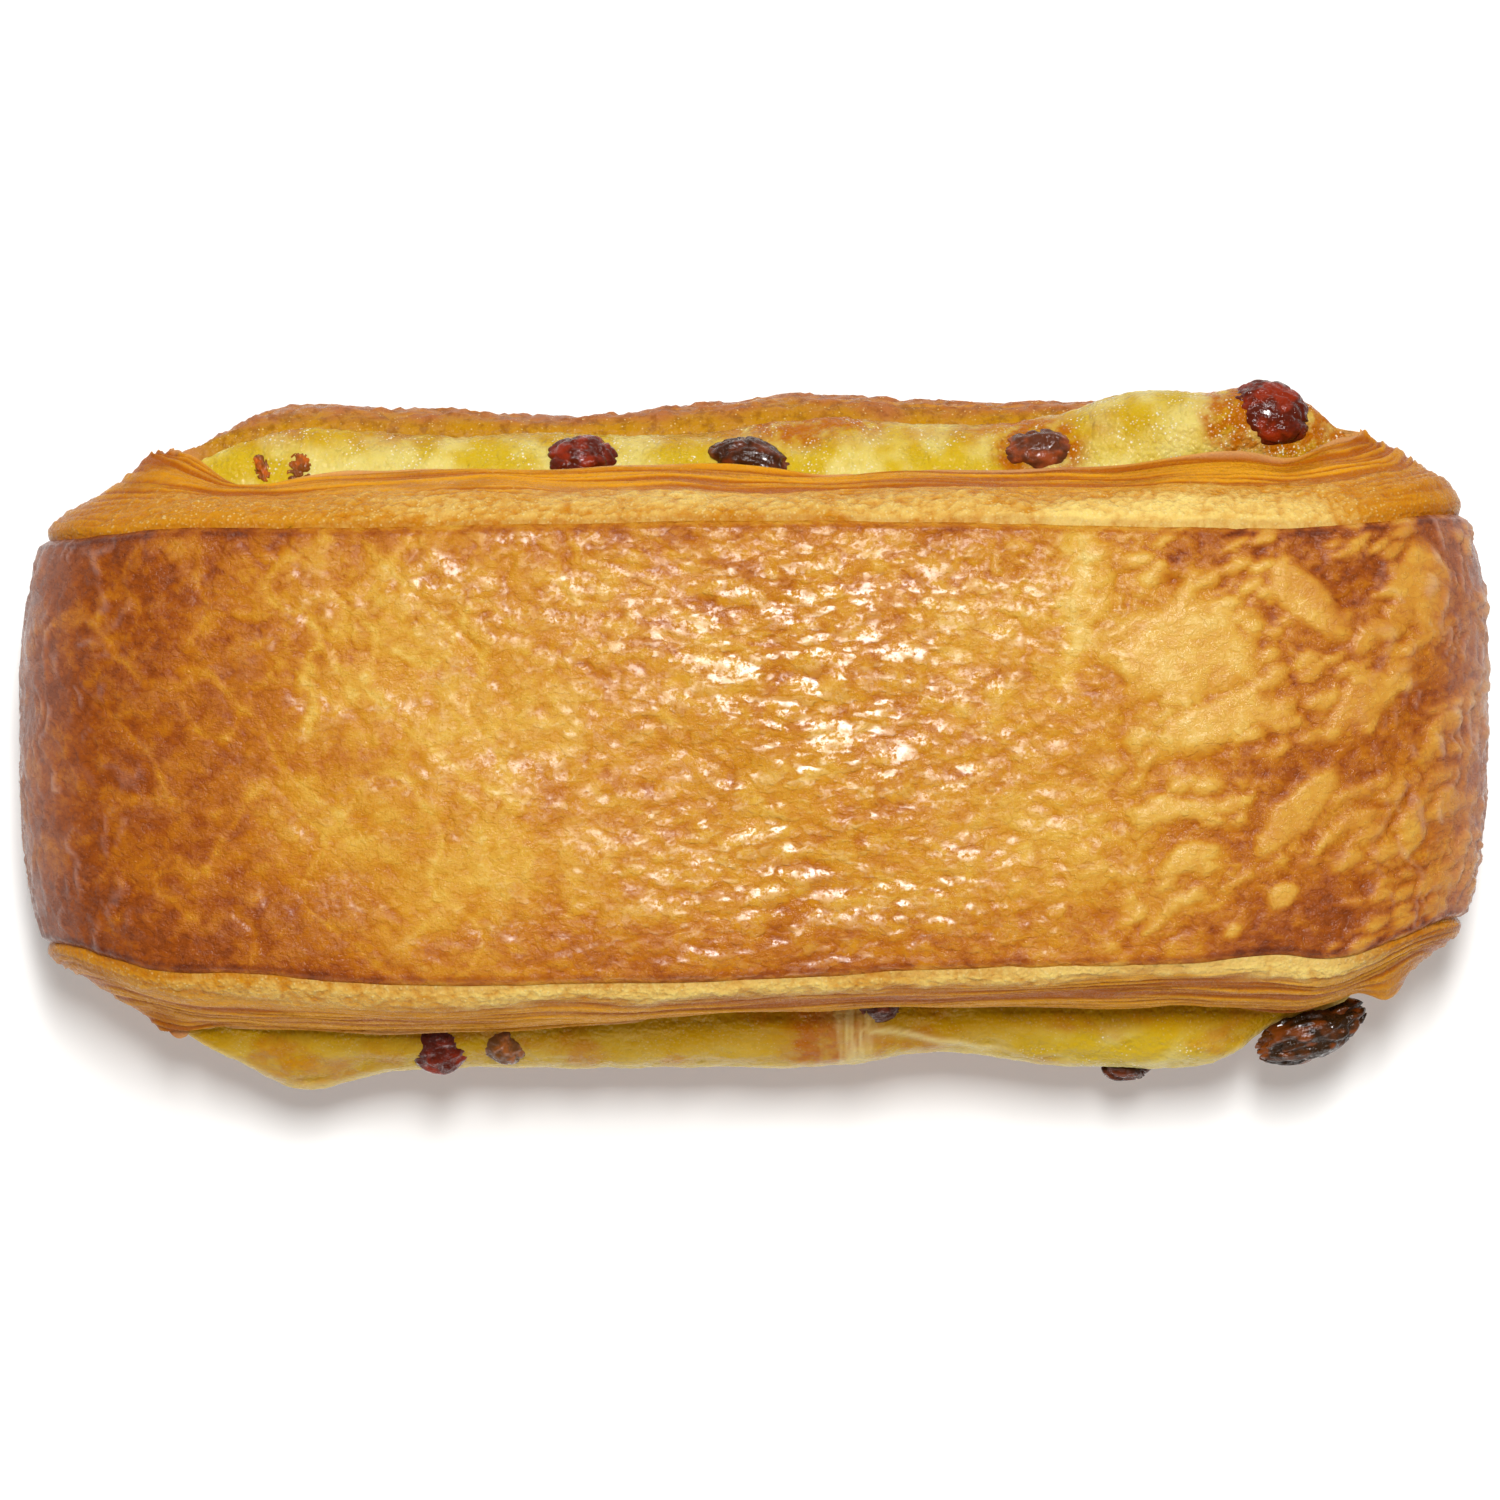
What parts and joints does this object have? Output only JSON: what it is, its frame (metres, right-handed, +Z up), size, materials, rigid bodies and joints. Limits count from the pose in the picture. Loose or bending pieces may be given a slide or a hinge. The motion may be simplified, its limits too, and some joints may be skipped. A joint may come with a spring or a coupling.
{
  "type": "pain suisse",
  "caption": "Long baked pastry: laminated dough folded over pastry custard and raisins, both ends closed by the folds, filling showing along the two cut sides.",
  "frame": {"origin": "on the surface that the pastry lies on, under the middle of its outline", "axes": "+X along the length, from the rounder folded end to the squarer one; +Y towards the side whose lower slab shows past the upper one; +Z up"},
  "size_m": [0.1529, 0.073, 0.0381],
  "materials": {
    "dough": "baked laminated dough, glazed golden brown on the outside, pale and layered on the cut sides",
    "custard": "baked pastry custard, moist yellow with browned patches",
    "raisin": "baked raisin, wrinkled, dark red to near black, glossy"
  },
  "bodies": {
    "root": {"dough": "dough", "custard": "custard", "raisin_far_left": "raisin", "raisin_far_sliver": "raisin", "raisin_far_red": "raisin", "raisin_far_dark": "raisin", "raisin_far_sunk": "raisin", "raisin_far_burnt": "raisin", "raisin_near_red": "raisin", "raisin_near_brown": "raisin", "raisin_near_middle": "raisin", "raisin_near_low": "raisin", "raisin_near_burnt": "raisin"}
  },
  "joints": []
}
